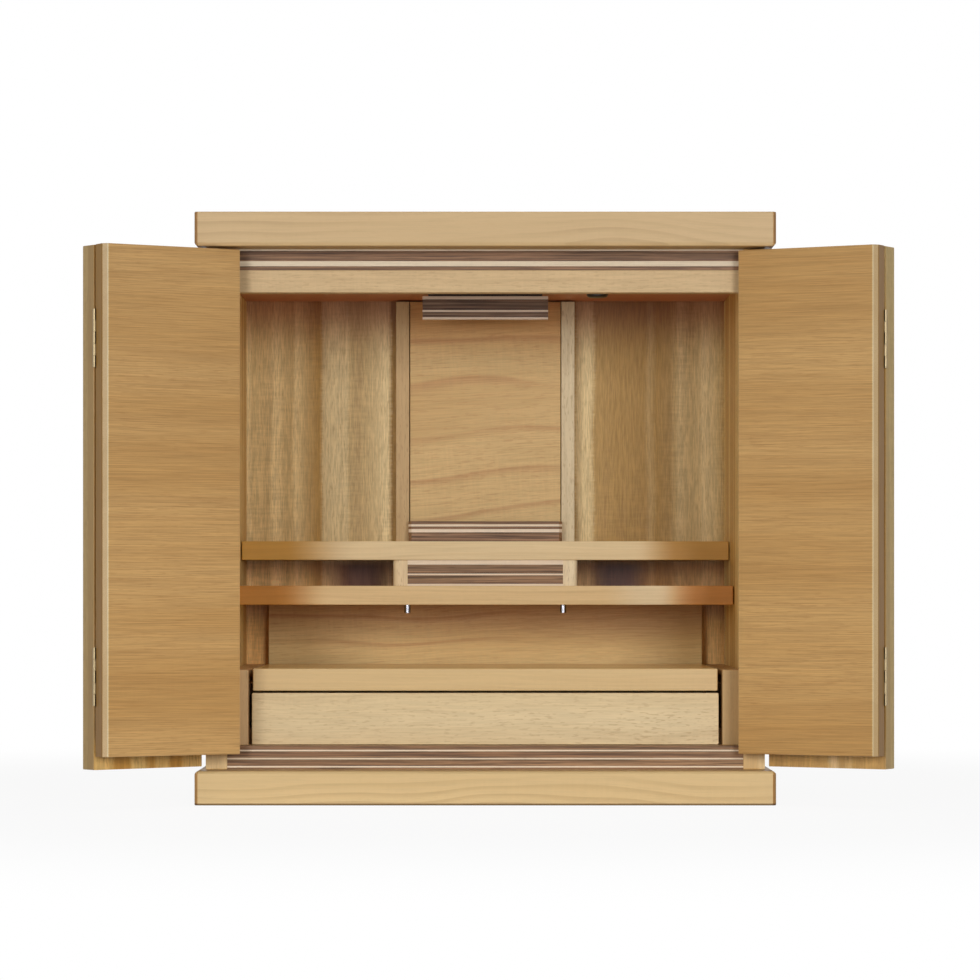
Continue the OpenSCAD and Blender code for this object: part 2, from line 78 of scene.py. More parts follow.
# A node tree with short calls for the nodes that the woods and metals use.
class Tree:
    def __init__(self, tree):
        self.tree = tree
        self.count = 0

    def node(self, kind, **settings):
        n = self.tree.nodes.new(kind)
        n.location = (200 * (self.count % 8), -220 * (self.count // 8))
        self.count += 1
        for key, value in settings.items():
            setattr(n, key, value)
        return n

    def feed(self, socket, value):
        if isinstance(value, bpy.types.NodeSocket):
            self.tree.links.new(value, socket)
        else:
            socket.default_value = value

    def math(self, operation, a, b=0.0):
        n = self.node("ShaderNodeMath", operation=operation)
        for socket, value in zip(n.inputs, (a, b)):
            self.feed(socket, value)
        return n.outputs[0]

    def combine(self, x, y, z):
        n = self.node("ShaderNodeCombineXYZ")
        for socket, value in zip(n.inputs, (x, y, z)):
            self.feed(socket, value)
        return n.outputs[0]

    def separate(self, vector):
        n = self.node("ShaderNodeSeparateXYZ")
        self.feed(n.inputs[0], vector)
        return n.outputs

    def noise(self, vector, detail, rough, scale=1.0):
        n = self.node("ShaderNodeTexNoise")
        self.feed(n.inputs["Vector"], vector)
        self.feed(n.inputs["Scale"], scale)
        self.feed(n.inputs["Detail"], detail)
        self.feed(n.inputs["Roughness"], rough)
        return n.outputs[0]

    def ramp(self, value, low, high, outLow=0.0, outHigh=1.0):
        n = self.node("ShaderNodeMapRange", interpolation_type="SMOOTHSTEP")
        for socket, v in zip(n.inputs, (value, low, high, outLow, outHigh)):
            self.feed(socket, v)
        return n.outputs[0]

    def blend(self, factor, a, b, mode="MIX"):
        n = self.node("ShaderNodeMix", data_type="RGBA", blend_type=mode)
        self.feed(n.inputs[0], factor)
        self.feed(n.inputs[6], a)
        self.feed(n.inputs[7], b)
        return n.outputs[2]


# Wood figure, shared by every wood in the cabinet

# Numbers of the figure that all woods share: scales along and across the grain, in repeats a metre,
# and the values of a noise between which its mask rises
figureShape = {
    "swayAcross": 9.0,
    "rippleAlong": 420.0,
    "rippleAcross": 46.0,
    "rippleOnBands": 0.06,
    "bandsAlong": 1.2,
    "ringPeak": 0.93,      # where in a growth ring it is darkest, from 0 to 1
    "fadeAlong": 4.0,
    "fadeAcross": 30.0,
    "fadeSpan": (0.35, 0.62),
    "dashSpan": (0.5, 0.68),
    "fibreSpan": (0.3, 0.7),
    "poreSpan": (0.56, 0.7),
}


# Colour, height and gloss of a wood, in metres with x along the grain. Growth rings are the fraction of a
# swayed across-grain coordinate, dark before each step. Bands, dashes, fibres and pores are noises stretched
# along the grain, and ripple is one stretched across it.
def makeWoodFigure(s):
    group = bpy.data.node_groups.new("woodFigure", "ShaderNodeTree")
    face = group.interface
    for name, kind, value in (
        ("Vector", "NodeSocketVector", None),
        ("Pale", "NodeSocketColor", (0.6, 0.4, 0.2, 1)),
        ("Deep", "NodeSocketColor", (0.4, 0.2, 0.1, 1)),
        ("Line", "NodeSocketColor", (0.2, 0.1, 0.05, 1)),
        ("Sway", "NodeSocketFloat", 0.006),
        ("Sway Reach", "NodeSocketFloat", 6.0),
        ("Band Scale", "NodeSocketFloat", 30.0),
        ("Band Edge", "NodeSocketFloat", 0.14),
        ("Band Amount", "NodeSocketFloat", 0.5),
        ("Ribbon", "NodeSocketFloat", 0.5),
        ("Ribbon Share", "NodeSocketFloat", 0.0),
        ("Ring Scale", "NodeSocketFloat", 110.0),
        ("Ring Wave", "NodeSocketFloat", 2.0),
        ("Ring Amount", "NodeSocketFloat", 0.3),
        ("Ring Start", "NodeSocketFloat", 0.3),
        ("Dash Scale", "NodeSocketFloat", 420.0),
        ("Dash Reach", "NodeSocketFloat", 16.0),
        ("Dash Amount", "NodeSocketFloat", 0.3),
        ("Fibre Scale", "NodeSocketFloat", 900.0),
        ("Fibre Reach", "NodeSocketFloat", 20.0),
        ("Fibre Amount", "NodeSocketFloat", 0.3),
        ("Pore Scale", "NodeSocketFloat", 900.0),
        ("Pore Reach", "NodeSocketFloat", 150.0),
        ("Pore Amount", "NodeSocketFloat", 0.3),
        ("Ripple Amount", "NodeSocketFloat", 0.1),
    ):
        socket = face.new_socket(name, in_out="INPUT", socket_type=kind)
        if value is not None:
            socket.default_value = value
    for name in ("Color", "Height", "Gloss"):
        kind = "NodeSocketColor" if name == "Color" else "NodeSocketFloat"
        face.new_socket(name, in_out="OUTPUT", socket_type=kind)

    t = Tree(group)
    given = t.node("NodeGroupInput").outputs
    along, a, b = t.separate(given["Vector"])

    def scaled(alongScale, acrossScale, wide, deep):
        return t.combine(
            t.math("MULTIPLY", along, alongScale),
            t.math("MULTIPLY", wide, acrossScale),
            t.math("MULTIPLY", deep, acrossScale),
        )

    # the slow sway of the grain across the board
    swayAt = scaled(given["Sway Reach"], s["swayAcross"], a, b)
    swing = t.math("SUBTRACT", t.noise(swayAt, 2.0, 0.45), 0.5)
    sway = t.math("MULTIPLY", swing, t.math("MULTIPLY", given["Sway"], 2.0))
    across = t.math("ADD", a, sway)
    depth = t.math("ADD", b, sway)

    def stretched(alongScale, acrossScale):
        return scaled(alongScale, acrossScale, across, depth)

    ripple = t.noise(scaled(s["rippleAlong"], s["rippleAcross"], a, b), 2.0, 0.65)
    bands = t.noise(stretched(s["bandsAlong"], given["Band Scale"]), 1.5, 0.5)
    rippled = t.math("MULTIPLY", t.math("SUBTRACT", ripple, 0.5), s["rippleOnBands"])
    bands = t.math("ADD", bands, rippled)
    bandLow = t.math("SUBTRACT", 0.5, given["Band Edge"])
    bandMask = t.ramp(bands, bandLow, t.math("ADD", 0.5, given["Band Edge"]))
    ribbonShift = t.math("SUBTRACT", given["Ribbon"], bandMask)
    bandMask = t.math("ADD", bandMask, t.math("MULTIPLY", ribbonShift, given["Ribbon Share"]))

    ringAt = t.math("MULTIPLY", t.math("ADD", across, depth), given["Ring Scale"])
    ringAt = t.math("ADD", ringAt, t.math("MULTIPLY", swing, t.math("MULTIPLY", given["Ring Wave"], 2.0)))
    saw = t.math("FRACT", ringAt)
    peak = s["ringPeak"]
    rings = t.math("MULTIPLY", t.ramp(saw, given["Ring Start"], peak), t.ramp(saw, peak, 1.0, 1.0, 0.0))
    ringFade = t.ramp(t.noise(stretched(s["fadeAlong"], s["fadeAcross"]), 1.0, 0.5), *s["fadeSpan"])

    dashes = t.noise(stretched(given["Dash Reach"], given["Dash Scale"]), 2.0, 0.6)
    dashMask = t.ramp(dashes, *s["dashSpan"])
    fibres = t.noise(stretched(given["Fibre Reach"], given["Fibre Scale"]), 2.0, 0.6)
    fibres = t.ramp(fibres, *s["fibreSpan"])
    pores = t.noise(stretched(given["Pore Reach"], given["Pore Scale"]), 1.0, 0.5)
    poreMask = t.ramp(pores, *s["poreSpan"])

    color = t.blend(t.math("MULTIPLY", bandMask, given["Band Amount"]), given["Pale"], given["Deep"])
    ringShare = t.math("MULTIPLY", t.math("MULTIPLY", rings, ringFade), given["Ring Amount"])
    color = t.blend(ringShare, color, given["Line"])
    color = t.blend(t.math("MULTIPLY", dashMask, given["Dash Amount"]), color, given["Line"])
    rippleShare = t.math("MULTIPLY", t.ramp(ripple, 0.3, 0.7, -1.0, 1.0), given["Ripple Amount"])
    rippleShare = t.math("MULTIPLY", rippleShare, ringFade)
    fibreShare = t.math("MULTIPLY", t.math("SUBTRACT", fibres, 0.5), given["Fibre Amount"])
    shade = t.math("ADD", 1.0, t.math("ADD", fibreShare, rippleShare))
    color = t.blend(1.0, color, t.combine(shade, shade, shade), "MULTIPLY")
    paleShare = t.math("SUBTRACT", 1.0, t.math("MULTIPLY", bandMask, 0.5))
    poreDepth = t.math("MULTIPLY", poreMask, given["Pore Amount"])
    color = t.blend(t.math("MULTIPLY", poreDepth, paleShare), color, given["Line"])

    height = t.math("SUBTRACT", t.math("MULTIPLY", fibres, 0.5), poreDepth)
    gloss = t.math("ADD", t.math("MULTIPLY", fibres, 0.6), t.math("MULTIPLY", bandMask, 0.4))
    out = t.node("NodeGroupOutput")
    for name, value in (("Color", color), ("Height", height), ("Gloss", gloss)):
        t.feed(out.inputs[name], value)
    return group


woodFigure = makeWoodFigure(figureShape)

# What each wood looks like: colours as they show on screen, how strong its figure is,
# and what its bevels and its end faces are multiplied by
woods = {
    "boardCherry": {
        "pale": (207, 177, 134), "deep": (199, 168, 124), "line": (168, 134, 92),
        "sway": 0.010, "reach": 4.0, "bandScale": 22.0, "edge": 0.14, "bands": 0.8,
        "rings": (110.0, 2.0, 0.38, 0.3),
        "dashes": (900.0, 12.0, 0.12), "fibres": (900.0, 12.0, 0.08), "pores": (900.0, 150.0, 0.12),
        "ripple": 0.01, "rough": (0.38, 0.50), "bevel": (0.60, 0.44, 0.27), "end": (0.80, 0.70, 0.58),
    },
    # The door cherry's pale bevel factor is a painted highlight on the leaves' chamfers.
    "doorCherry": {
        "pale": (198, 157, 106), "deep": (185, 142, 89), "line": (146, 102, 54),
        "sway": 0.002, "reach": 3.0, "bandScale": 22.0, "edge": 0.2, "bands": 0.9,
        "rings": (50.0, 0.7, 0.16, 0.3),
        "dashes": (1900.0, 24.0, 0.34), "fibres": (1600.0, 16.0, 0.24), "pores": (1300.0, 90.0, 0.24),
        "ripple": 0.01, "rough": (0.38, 0.50), "bevel": (1.02, 1.20, 1.68), "end": (0.60, 0.48, 0.10),
    },
    "ribbonVeneer": {
        "pale": (222, 188, 134), "deep": (196, 149, 80), "line": (140, 96, 46),
        "sway": 0.004, "reach": 2.0, "bandScale": 46.0, "edge": 0.05, "bands": 1.0,
        "rings": (60.0, 0.8, 0.22, 0.3),
        "dashes": (500.0, 60.0, 0.14), "fibres": (900.0, 60.0, 0.22), "pores": (900.0, 130.0, 0.30),
        "ripple": 0.08, "rough": (0.36, 0.50), "bevel": (1.0, 1.0, 1.0), "end": (0.90, 0.87, 1.02),
    },
    "backVeneer": {
        "pale": (224, 193, 151), "deep": (164, 121, 56), "line": (140, 96, 46),
        "sway": 0.004, "reach": 2.0, "bandScale": 60.0, "edge": 0.05, "bands": 1.0,
        "rings": (60.0, 0.8, 0.22, 0.3),
        "dashes": (800.0, 40.0, 0.10), "fibres": (900.0, 70.0, 0.30), "pores": (1100.0, 140.0, 0.28),
        "ripple": 0.075, "rough": (0.36, 0.50), "bevel": (1.0, 1.0, 1.0), "end": (0.73, 0.70, 0.80),
    },
    "leafVeneer": {
        "pale": (188, 156, 112), "deep": (160, 118, 64), "line": (122, 84, 44),
        "sway": 0.004, "reach": 2.0, "bandScale": 46.0, "edge": 0.05, "bands": 1.0,
        "rings": (60.0, 0.8, 0.25, 0.3),
        "dashes": (420.0, 60.0, 0.12), "fibres": (640.0, 60.0, 0.20), "pores": (760.0, 130.0, 0.42),
        "ripple": 0.06, "rough": (0.36, 0.50), "bevel": (1.0, 1.0, 1.0), "end": (0.95, 0.98, 0.92),
    },
    "panelVeneer": {
        "pale": (208, 168, 119), "deep": (194, 150, 97), "line": (168, 108, 66),
        "sway": 0.010, "reach": 3.0, "bandScale": 16.0, "edge": 0.12, "bands": 0.9,
        "rings": (30.0, 0.8, 0.44, 0.72),
        "dashes": (900.0, 22.0, 0.20), "fibres": (1000.0, 18.0, 0.14), "pores": (900.0, 110.0, 0.26),
        "ripple": 0.03, "rough": (0.38, 0.52), "bevel": (1.0, 1.0, 1.0), "end": (0.9, 0.9, 0.9), "tilt": 3.0,
    },
    "shelfWood": {
        "pale": (210, 176, 126), "deep": (202, 166, 114), "line": (176, 136, 86),
        "sway": 0.004, "reach": 4.0, "bandScale": 60.0, "edge": 0.14, "bands": 0.8,
        "rings": (120.0, 0.8, 0.18, 0.3),
        "dashes": (420.0, 10.0, 0.12), "fibres": (700.0, 12.0, 0.08), "pores": (900.0, 120.0, 0.10),
        "ripple": 0.01, "rough": (0.40, 0.52), "bevel": (1.0, 1.0, 1.0), "end": (0.9, 0.9, 0.9),
    },
    "railWood": {
        "pale": (210, 180, 137), "deep": (202, 170, 126), "line": (150, 112, 72),
        "sway": 0.004, "reach": 6.0, "bandScale": 60.0, "edge": 0.14, "bands": 0.7,
        "rings": (120.0, 1.0, 0.12, 0.3),
        "dashes": (520.0, 30.0, 0.12), "fibres": (800.0, 30.0, 0.10), "pores": (900.0, 160.0, 0.42),
        "ripple": 0.02, "rough": (0.42, 0.55), "bevel": (1.0, 1.0, 1.0), "end": (0.9, 0.9, 0.9),
    },
    "trayWood": {
        "pale": (210, 178, 128), "deep": (204, 171, 120), "line": (180, 142, 94),
        "sway": 0.006, "reach": 4.0, "bandScale": 40.0, "edge": 0.14, "bands": 0.8,
        "rings": (80.0, 1.0, 0.12, 0.3),
        "dashes": (380.0, 12.0, 0.08), "fibres": (700.0, 10.0, 0.06), "pores": (900.0, 120.0, 0.08),
        "ripple": 0.01, "rough": (0.17, 0.24), "bevel": (0.8, 0.75, 0.7), "end": (0.6, 0.5, 0.4),
    },
    "drawerWood": {
        "pale": (218, 192, 148), "deep": (210, 182, 136), "line": (164, 128, 82),
        "sway": 0.010, "reach": 4.0, "bandScale": 30.0, "edge": 0.14, "bands": 0.8,
        "rings": (60.0, 1.6, 0.18, 0.3),
        "dashes": (460.0, 26.0, 0.12), "fibres": (700.0, 26.0, 0.10), "pores": (800.0, 150.0, 0.42),
        "ripple": 0.02, "rough": (0.42, 0.56), "bevel": (0.8, 0.75, 0.7), "end": (0.7, 0.6, 0.5),
    },
    "boxWood": {
        "pale": (206, 174, 128), "deep": (194, 160, 112), "line": (160, 124, 82),
        "sway": 0.006, "reach": 4.0, "bandScale": 40.0, "edge": 0.14, "bands": 0.8,
        "rings": (80.0, 1.4, 0.25, 0.3),
        "dashes": (420.0, 16.0, 0.14), "fibres": (700.0, 16.0, 0.14), "pores": (900.0, 120.0, 0.25),
        "ripple": 0.02, "rough": (0.55, 0.70), "bevel": (1.0, 1.0, 1.0), "end": (0.85, 0.8, 0.75),
    },
    "walnutStrip": {
        "pale": (150, 118, 90), "deep": (116, 83, 58), "line": (60, 38, 24),
        "sway": 0.001, "reach": 3.0, "bandScale": 240.0, "edge": 0.2, "bands": 1.0,
        "rings": (300.0, 1.0, 0.1, 0.3),
        "dashes": (950.0, 18.0, 0.62), "fibres": (1000.0, 12.0, 0.85), "pores": (1100.0, 60.0, 0.35),
        "ripple": 0.02, "rough": (0.40, 0.55), "bevel": (1.0, 1.0, 1.0), "end": (0.8, 0.8, 0.8),
    },
    "mapleStrip": {
        "pale": (232, 212, 186), "deep": (222, 200, 170), "line": (190, 160, 122),
        "sway": 0.002, "reach": 3.0, "bandScale": 120.0, "edge": 0.2, "bands": 0.7,
        "rings": (200.0, 1.0, 0.1, 0.3),
        "dashes": (500.0, 20.0, 0.12), "fibres": (900.0, 20.0, 0.10), "pores": (900.0, 120.0, 0.10),
        "ripple": 0.02, "rough": (0.40, 0.50), "bevel": (1.0, 1.0, 1.0), "end": (0.9, 0.9, 0.9),
    },
}

# How pale the back board's veneer is from side to side, as places in metres from its middle, each with a
# share from 0 (deep) to 1 (pale). The list follows the tone of the photo's columns. The scales of the ragged
# and the slow waver of its edges are across and along the board.
ribbons = {
    "reach": 0.2,
    "ragged": 0.003,
    "raggedScale": (60.0, 480.0),
    "slow": 0.006,
    "slowScale": (20.0, 9.0),
    "rearBands": 0.45,     # how strong the seeded bands are on the board's back, which has no ribbons
    # The deep stop at the inner end of each list, beside a pilaster, is painted shade: the pilaster's shadow
    # on the back board.
    "left": [
        (-0.1975, 1.00), (-0.1945, 1.00), (-0.1925, 0.66), (-0.181, 0.70), (-0.177, 0.79), (-0.1745, 1.00),
        (-0.170, 0.91), (-0.166, 0.70), (-0.159, 0.62), (-0.157, 1.00), (-0.153, 0.79), (-0.147, 0.47),
        (-0.141, 0.12), (-0.1365, 0.00), (-0.134, 0.91), (-0.122, 1.00), (-0.1145, 0.87), (-0.112, 0.46),
        (-0.099, 0.46), (-0.091, 0.66), (-0.083, 0.90), (-0.079, 0.86), (-0.077, 0.00),
    ],
    "right": [
        (0.0735, 0.00), (0.0762, 0.80), (0.0855, 0.88), (0.0880, 0.64), (0.091, 0.06), (0.105, 0.02),
        (0.109, 0.00), (0.118, 0.00), (0.124, 0.00), (0.132, 0.00), (0.136, 0.22), (0.139, 0.14),
        (0.142, 0.00), (0.152, 0.17), (0.157, 0.43), (0.160, 0.78), (0.165, 0.70), (0.172, 0.62),
        (0.178, 0.70), (0.1805, 1.00), (0.188, 0.81), (0.194, 0.47), (0.198, 0.17),
    ],
}


# How deep the veneer is, from 0 to 1, read off both lists of places, with the painted shade beside the
# pilasters.
def ribbonMask(t, across, s):
    place = t.math("ADD", t.math("DIVIDE", across, 2 * s["reach"]), 0.5)
    halves = []
    for side in ("left", "right"):
        node = t.node("ShaderNodeValToRGB")
        stops = s[side]
        ramp = node.color_ramp
        while len(ramp.elements) < len(stops):
            ramp.elements.new(0.5)
        for element, (spot, pale) in zip(ramp.elements, stops):
            element.position = spot / (2 * s["reach"]) + 0.5
            element.color = (1.0 - pale, 1.0 - pale, 1.0 - pale, 1.0)
        t.feed(node.inputs[0], place)
        halves.append(node.outputs[0])
    return t.math("MINIMUM", halves[0], halves[1])


# How far a face must lean towards an axis, as the size of its normal's part, to count as a cap, as a bevel
# beside one, or as facing that way
slants = {"cap": 0.86, "bevel": 0.38, "facing": 0.5}

# Finish that all woods share
woodFinish = {
    "calm": 0.5,           # how far the figure fades to the pale tone on bevels and caps
    "specular": 0.3,
    "bump": 0.10,
    "bumpDepth": 0.0004,
}


# Where a point lies in the wood, with the grain first: one order of axes on most faces, another on the caps,
# which are the faces across the cap axis. Also the masks of bevels and caps, and the place and the normal
# turned into the node's own directions.
def grainVector(t, grain, cap, edge, angle, tilt, shift):
    coords = t.node("ShaderNodeTexCoord")

    def turned(socket, offset):
        n = t.node("ShaderNodeMapping")
        t.feed(n.inputs["Vector"], socket)
        t.feed(n.inputs["Rotation"], (0.0, math.radians(tilt), math.radians(angle)))
        t.feed(n.inputs["Location"], offset)
        return t.separate(n.outputs[0])

    place = dict(zip("xyz", turned(coords.outputs["Object"], shift)))
    look = dict(zip("xyz", turned(coords.outputs["Normal"], (0.0, 0.0, 0.0))))

    def arranged(first):
        rest = [axis for axis in "xyz" if axis != first]
        return t.combine(place[first], place[rest[0]], place[rest[1]])

    slant = t.math("ABSOLUTE", look[cap])
    capMask = t.math("GREATER_THAN", slant, slants["cap"])
    bevelMask = t.math("SUBTRACT", t.math("GREATER_THAN", slant, slants["bevel"]), capMask)
    mix = t.node("ShaderNodeMix", data_type="VECTOR")
    t.feed(mix.inputs[0], capMask)
    t.feed(mix.inputs[4], arranged(grain))
    t.feed(mix.inputs[5], arranged(edge))
    return mix.outputs[1], bevelMask, capMask, place, look, coords.outputs["Object"]


# One where a value lies between the inner two of four numbers, zero outside the outer two.
def spanMask(t, value, span):
    return t.math("MULTIPLY", t.ramp(value, span[0], span[1]), t.ramp(value, span[2], span[3], 1.0, 0.0))


# One on faces that look to a side, given as an axis and its sign.
def facingMask(t, look, axis, sign):
    return t.math("GREATER_THAN", t.math("MULTIPLY", look[axis], sign), slants["facing"])


# The board's place from side to side, moved a little so that the ribbons' edges waver.
def waveredPlace(t, place, s):
    x, y, z = t.separate(place)
    start = {"x": x, "z": z}
    for key, detail in (("ragged", 0.6), ("slow", 0.5)):
        across, along = s[key + "Scale"]
        spot = t.combine(t.math("MULTIPLY", start["x"], across), 0.0, t.math("MULTIPLY", start["z"], along))
        waver = t.math("SUBTRACT", t.noise(spot, 2.0, detail), 0.5)
        x = t.math("ADD", x, t.math("MULTIPLY", waver, s[key]))
    return x


# One wood's figure in a node's tint, with its bevels and caps multiplied, then toned by the node's shades.
def woodMaterial(name, wood, grain, cap, edge, angle, shift, tint, shades=(), ownRibbons=None):
    s = woods[wood]
    material = bpy.data.materials.new(name)
    material.use_nodes = True
    t = Tree(material.node_tree)
    shader = material.node_tree.nodes["Principled BSDF"]
    tilt = s.get("tilt", 0.0)
    vector, bevelMask, capMask, turned, look, place = grainVector(t, grain, cap, edge, angle, tilt, shift)
    figure = t.node("ShaderNodeGroup", node_tree=woodFigure)
    t.feed(figure.inputs["Vector"], vector)
    for socket, key in (("Pale", "pale"), ("Deep", "deep"), ("Line", "line")):
        c = linear(s[key])
        t.feed(figure.inputs[socket], (c[0] * tint[0], c[1] * tint[1], c[2] * tint[2], 1.0))
    for socket, value in (
        ("Sway", s["sway"]), ("Sway Reach", s["reach"]), ("Band Scale", s["bandScale"]),
        ("Band Edge", s["edge"]), ("Band Amount", s["bands"]),
        ("Ring Scale", s["rings"][0]), ("Ring Wave", s["rings"][1]),
        ("Ring Amount", s["rings"][2]), ("Ring Start", s["rings"][3]),
        ("Dash Scale", s["dashes"][0]), ("Dash Reach", s["dashes"][1]), ("Dash Amount", s["dashes"][2]),
        ("Fibre Scale", s["fibres"][0]), ("Fibre Reach", s["fibres"][1]), ("Fibre Amount", s["fibres"][2]),
        ("Pore Scale", s["pores"][0]), ("Pore Reach", s["pores"][1]), ("Pore Amount", s["pores"][2]),
        ("Ripple Amount", s["ripple"]),
    ):
        t.feed(figure.inputs[socket], value)
    if ownRibbons:
        t.feed(figure.inputs["Ribbon"], ribbonMask(t, waveredPlace(t, place, ownRibbons), ownRibbons))
        front = facingMask(t, look, "y", -1.0)
        t.feed(figure.inputs["Ribbon Share"], front)
        t.feed(figure.inputs["Band Amount"], t.ramp(front, 0.0, 1.0, ownRibbons["rearBands"], s["bands"]))
    pale = tuple(part * toned for part, toned in zip(linear(s["pale"]), tint))
    calm = t.blend(woodFinish["calm"], figure.outputs["Color"], (*pale, 1.0))
    color = t.blend(bevelMask, figure.outputs["Color"], t.blend(1.0, calm, (*s["bevel"], 1.0), "MULTIPLY"))
    color = t.blend(capMask, color, t.blend(1.0, calm, (*s["end"], 1.0), "MULTIPLY"))
    sources = {"place": dict(zip("xyz", t.separate(place))), "turned": turned, "look": look}
    for source, axis, sized, span, factors, *limits in shades:
        value = sources[source][axis]
        if sized:
            value = t.math("ABSOLUTE", value)
        shaded = t.blend(1.0, color, (*factors, 1.0), "MULTIPLY")
        mask = spanMask(t, value, span)
        for limitAxis, limit in limits:
            if isinstance(limit, tuple):
                within = spanMask(t, sources["place"][limitAxis], limit)
            else:
                within = facingMask(t, look, limitAxis, limit)
            mask = t.math("MULTIPLY", mask, within)
        color = t.blend(mask, color, shaded)
    t.feed(shader.inputs["Base Color"], color)
    glossy, dull = s["rough"]
    t.feed(shader.inputs["Roughness"], t.ramp(figure.outputs["Gloss"], 0.0, 1.0, dull, glossy))
    t.feed(shader.inputs["Specular IOR Level"], woodFinish["specular"])
    bump = t.node("ShaderNodeBump")
    t.feed(bump.inputs["Strength"], woodFinish["bump"])
    t.feed(bump.inputs["Distance"], woodFinish["bumpDepth"])
    t.feed(bump.inputs["Height"], figure.outputs["Height"])
    t.feed(shader.inputs["Normal"], bump.outputs[0])
    return material


# Metals and plastics

# Colour value and roughness value of a metal or plastic: fine grain over a slow cloud.
def makeHandledSurface():
    group = bpy.data.node_groups.new("handledSurface", "ShaderNodeTree")
    face = group.interface
    face.new_socket("Vector", in_out="INPUT", socket_type="NodeSocketVector")
    face.new_socket("Base", in_out="INPUT", socket_type="NodeSocketColor")
    for name, value in (("Grain Scale", 900.0), ("Cloud Scale", 60.0), ("Tone", 0.1), ("Rough Low", 0.2),
                        ("Rough High", 0.35)):
        face.new_socket(name, in_out="INPUT", socket_type="NodeSocketFloat").default_value = value
    for name in ("Color", "Roughness", "Height"):
        kind = "NodeSocketColor" if name == "Color" else "NodeSocketFloat"
        face.new_socket(name, in_out="OUTPUT", socket_type=kind)
    t = Tree(group)
    given = t.node("NodeGroupInput").outputs
    grain = t.noise(given["Vector"], 3.0, 0.6, given["Grain Scale"])
    cloud = t.noise(given["Vector"], 2.0, 0.5, given["Cloud Scale"])
    both = t.math("ADD", t.math("MULTIPLY", grain, 0.5), t.math("MULTIPLY", cloud, 0.5))
    shade = t.math("ADD", 1.0, t.math("MULTIPLY", t.math("SUBTRACT", both, 0.5), given["Tone"]))
    color = t.blend(1.0, given["Base"], t.combine(shade, shade, shade), "MULTIPLY")
    span = t.math("SUBTRACT", given["Rough High"], given["Rough Low"])
    out = t.node("NodeGroupOutput")
    t.feed(out.inputs["Color"], color)
    t.feed(out.inputs["Roughness"], t.math("ADD", given["Rough Low"], t.math("MULTIPLY", both, span)))
    t.feed(out.inputs["Height"], grain)
    return group


handledSurface = makeHandledSurface()

fittingBumpDepth = 0.0002
fittings = {
    "paleBrass": {
        "base": (150, 134, 104), "metal": 1.0,
        "rough": (0.34, 0.52), "tone": 0.25, "grain": 1400.0, "bump": 0.05,
    },
    "pegChrome": {
        "base": (140, 140, 146), "metal": 1.0,
        "rough": (0.10, 0.22), "tone": 0.05, "grain": 800.0, "bump": 0.0,
    },
    "lampPlastic": {
        "base": (58, 48, 42), "metal": 0.0,
        "rough": (0.45, 0.65), "tone": 0.3, "grain": 2200.0, "bump": 0.25,
    },
    "grommetPlastic": {
        "base": (26, 24, 23), "metal": 0.0,
        "rough": (0.28, 0.45), "tone": 0.3, "grain": 2600.0, "bump": 0.2,
    },
    "screwSteel": {
        "base": (160, 148, 118), "metal": 1.0,
        "rough": (0.22, 0.4), "tone": 0.2, "grain": 1800.0, "bump": 0.05,
    },
}


# A metal or plastic from its row above.
def fittingMaterial(name):
    s = fittings[name]
    material = bpy.data.materials.new(name)
    material.use_nodes = True
    t = Tree(material.node_tree)
    shader = material.node_tree.nodes["Principled BSDF"]
    coords = t.node("ShaderNodeTexCoord")
    group = t.node("ShaderNodeGroup", node_tree=handledSurface)
    t.feed(group.inputs["Vector"], coords.outputs["Object"])
    t.feed(group.inputs["Base"], linear(s["base"]))
    for socket, value in (("Grain Scale", s["grain"]), ("Tone", s["tone"]), ("Rough Low", s["rough"][0]),
                          ("Rough High", s["rough"][1])):
        t.feed(group.inputs[socket], value)
    t.feed(shader.inputs["Base Color"], group.outputs["Color"])
    t.feed(shader.inputs["Roughness"], group.outputs["Roughness"])
    t.feed(shader.inputs["Metallic"], s["metal"])
    if s["bump"]:
        bump = t.node("ShaderNodeBump")
        t.feed(bump.inputs["Strength"], s["bump"])
        t.feed(bump.inputs["Distance"], fittingBumpDepth)
        t.feed(bump.inputs["Height"], group.outputs["Height"])
        t.feed(shader.inputs["Normal"], bump.outputs[0])
    return material


# The angle of each door leaf in plan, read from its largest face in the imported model

# Degrees, within a right angle, to turn the leaf's plan outline so that its long side runs along x.
def leafAngle(node):
    face = max(nodes[node].data.polygons, key=lambda polygon: polygon.area)
    x, y, z = face.normal
    return (90.0 - math.degrees(math.atan2(x, -y))) % 180.0 - 90.0


# Where, along the turned leaf, its front face meets the bevel at the outer end: where the painted highlight
# runs.
def leafArris(node, angle):
    mesh = nodes[node].data
    co = np.empty(len(mesh.vertices) * 3)
    mesh.vertices.foreach_get("co", co)
    co = co.reshape(-1, 3)
    turn = math.radians(angle)
    along = co[:, 0] * math.cos(turn) - co[:, 1] * math.sin(turn)
    deep = co[:, 0] * math.sin(turn) + co[:, 1] * math.cos(turn)
    front = along[deep < deep.min() + arrisHighlight["skin"]]
    return float(front[np.argmax(np.abs(front))])


